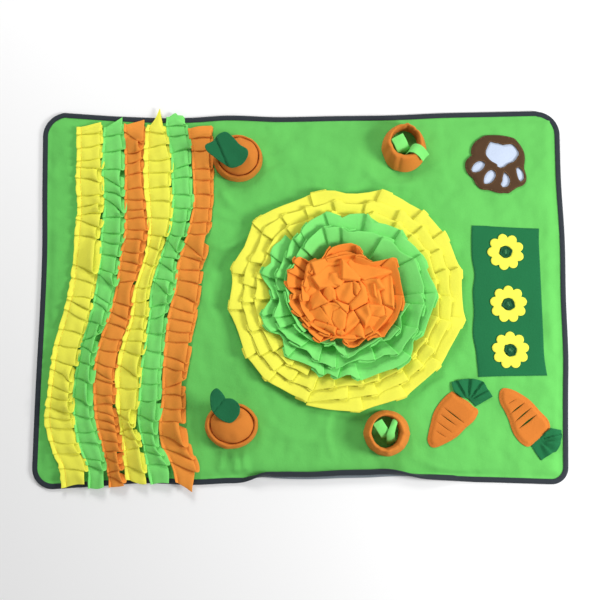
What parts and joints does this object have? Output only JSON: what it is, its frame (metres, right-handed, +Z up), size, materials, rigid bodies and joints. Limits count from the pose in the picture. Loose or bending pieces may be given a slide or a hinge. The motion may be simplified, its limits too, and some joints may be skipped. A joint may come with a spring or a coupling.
{
  "type": "snuffle mat",
  "caption": "Flat bound fleece mat with rows of pleated ruffles, a round ruffle flower, upright cloth pockets and sewn-on felt shapes, for hiding dry treats in.",
  "frame": {"origin": "on the underside of the mat, halfway along both of its sides", "axes": "+X along the long side, from the pleated strips towards the paw; +Y towards the long side with the paw; +Z up from the surface that the mat lies on"},
  "size_m": [1.015, 0.7352, 0.0616],
  "materials": {
    "ground_green": "brushed polar fleece",
    "backing_net": "coated anti-slip cloth with small dots",
    "binding_slate": "woven binding tape",
    "ruffle_yellow": "polar fleece",
    "ruffle_green": "polar fleece",
    "ruffle_orange": "polar fleece",
    "flower_yellow": "polar fleece",
    "flower_green": "polar fleece",
    "flower_orange": "polar fleece",
    "pocket_orange": "polar fleece",
    "plush_orange": "polar fleece over filling",
    "ribbon_green": "polar fleece",
    "leaf_green": "needle felt",
    "paw_white": "needle felt",
    "paw_brown": "needle felt",
    "panel_green": "needle felt",
    "daisy_yellow": "needle felt",
    "daisy_heart": "needle felt",
    "carrot_orange": "needle felt",
    "carrot_leaves": "needle felt"
  },
  "bodies": {
    "root": {"ground_panel": "ground_green", "backing": "backing_net", "binding": "binding_slate", "ruffle_strip_1_yellow": "ruffle_yellow", "ruffle_strip_4_yellow": "ruffle_yellow", "ruffle_strip_2_green": "ruffle_green", "ruffle_strip_5_green": "ruffle_green", "ruffle_strip_3_orange": "ruffle_orange", "ruffle_strip_6_orange": "ruffle_orange", "flower_yellow_rows": "flower_yellow", "flower_green_rows": "flower_green", "flower_orange_rows": "flower_orange", "flower_bud": "flower_orange", "pocket_back": "pocket_orange", "pocket_front": "pocket_orange", "carrot_pocket_back": "pocket_orange", "carrot_pocket_front": "pocket_orange", "carrot_pocket_back_plush": "plush_orange", "carrot_pocket_front_plush": "plush_orange", "ribbon_back_inner": "ribbon_green", "ribbon_back_outer": "ribbon_green", "ribbon_front_left": "ribbon_green", "ribbon_front_right": "ribbon_green", "leaf_back": "leaf_green", "leaf_front": "leaf_green", "paw_white": "paw_white", "paw_brown": "paw_brown", "felt_panel": "panel_green", "flower_1": "daisy_yellow", "flower_2": "daisy_yellow", "flower_3": "daisy_yellow", "flower_heart_1": "daisy_heart", "flower_heart_2": "daisy_heart", "flower_heart_3": "daisy_heart", "carrot_back": "carrot_orange", "carrot_front": "carrot_orange", "carrot_back_leaves": "carrot_leaves", "carrot_front_leaves": "carrot_leaves"}
  },
  "joints": []
}
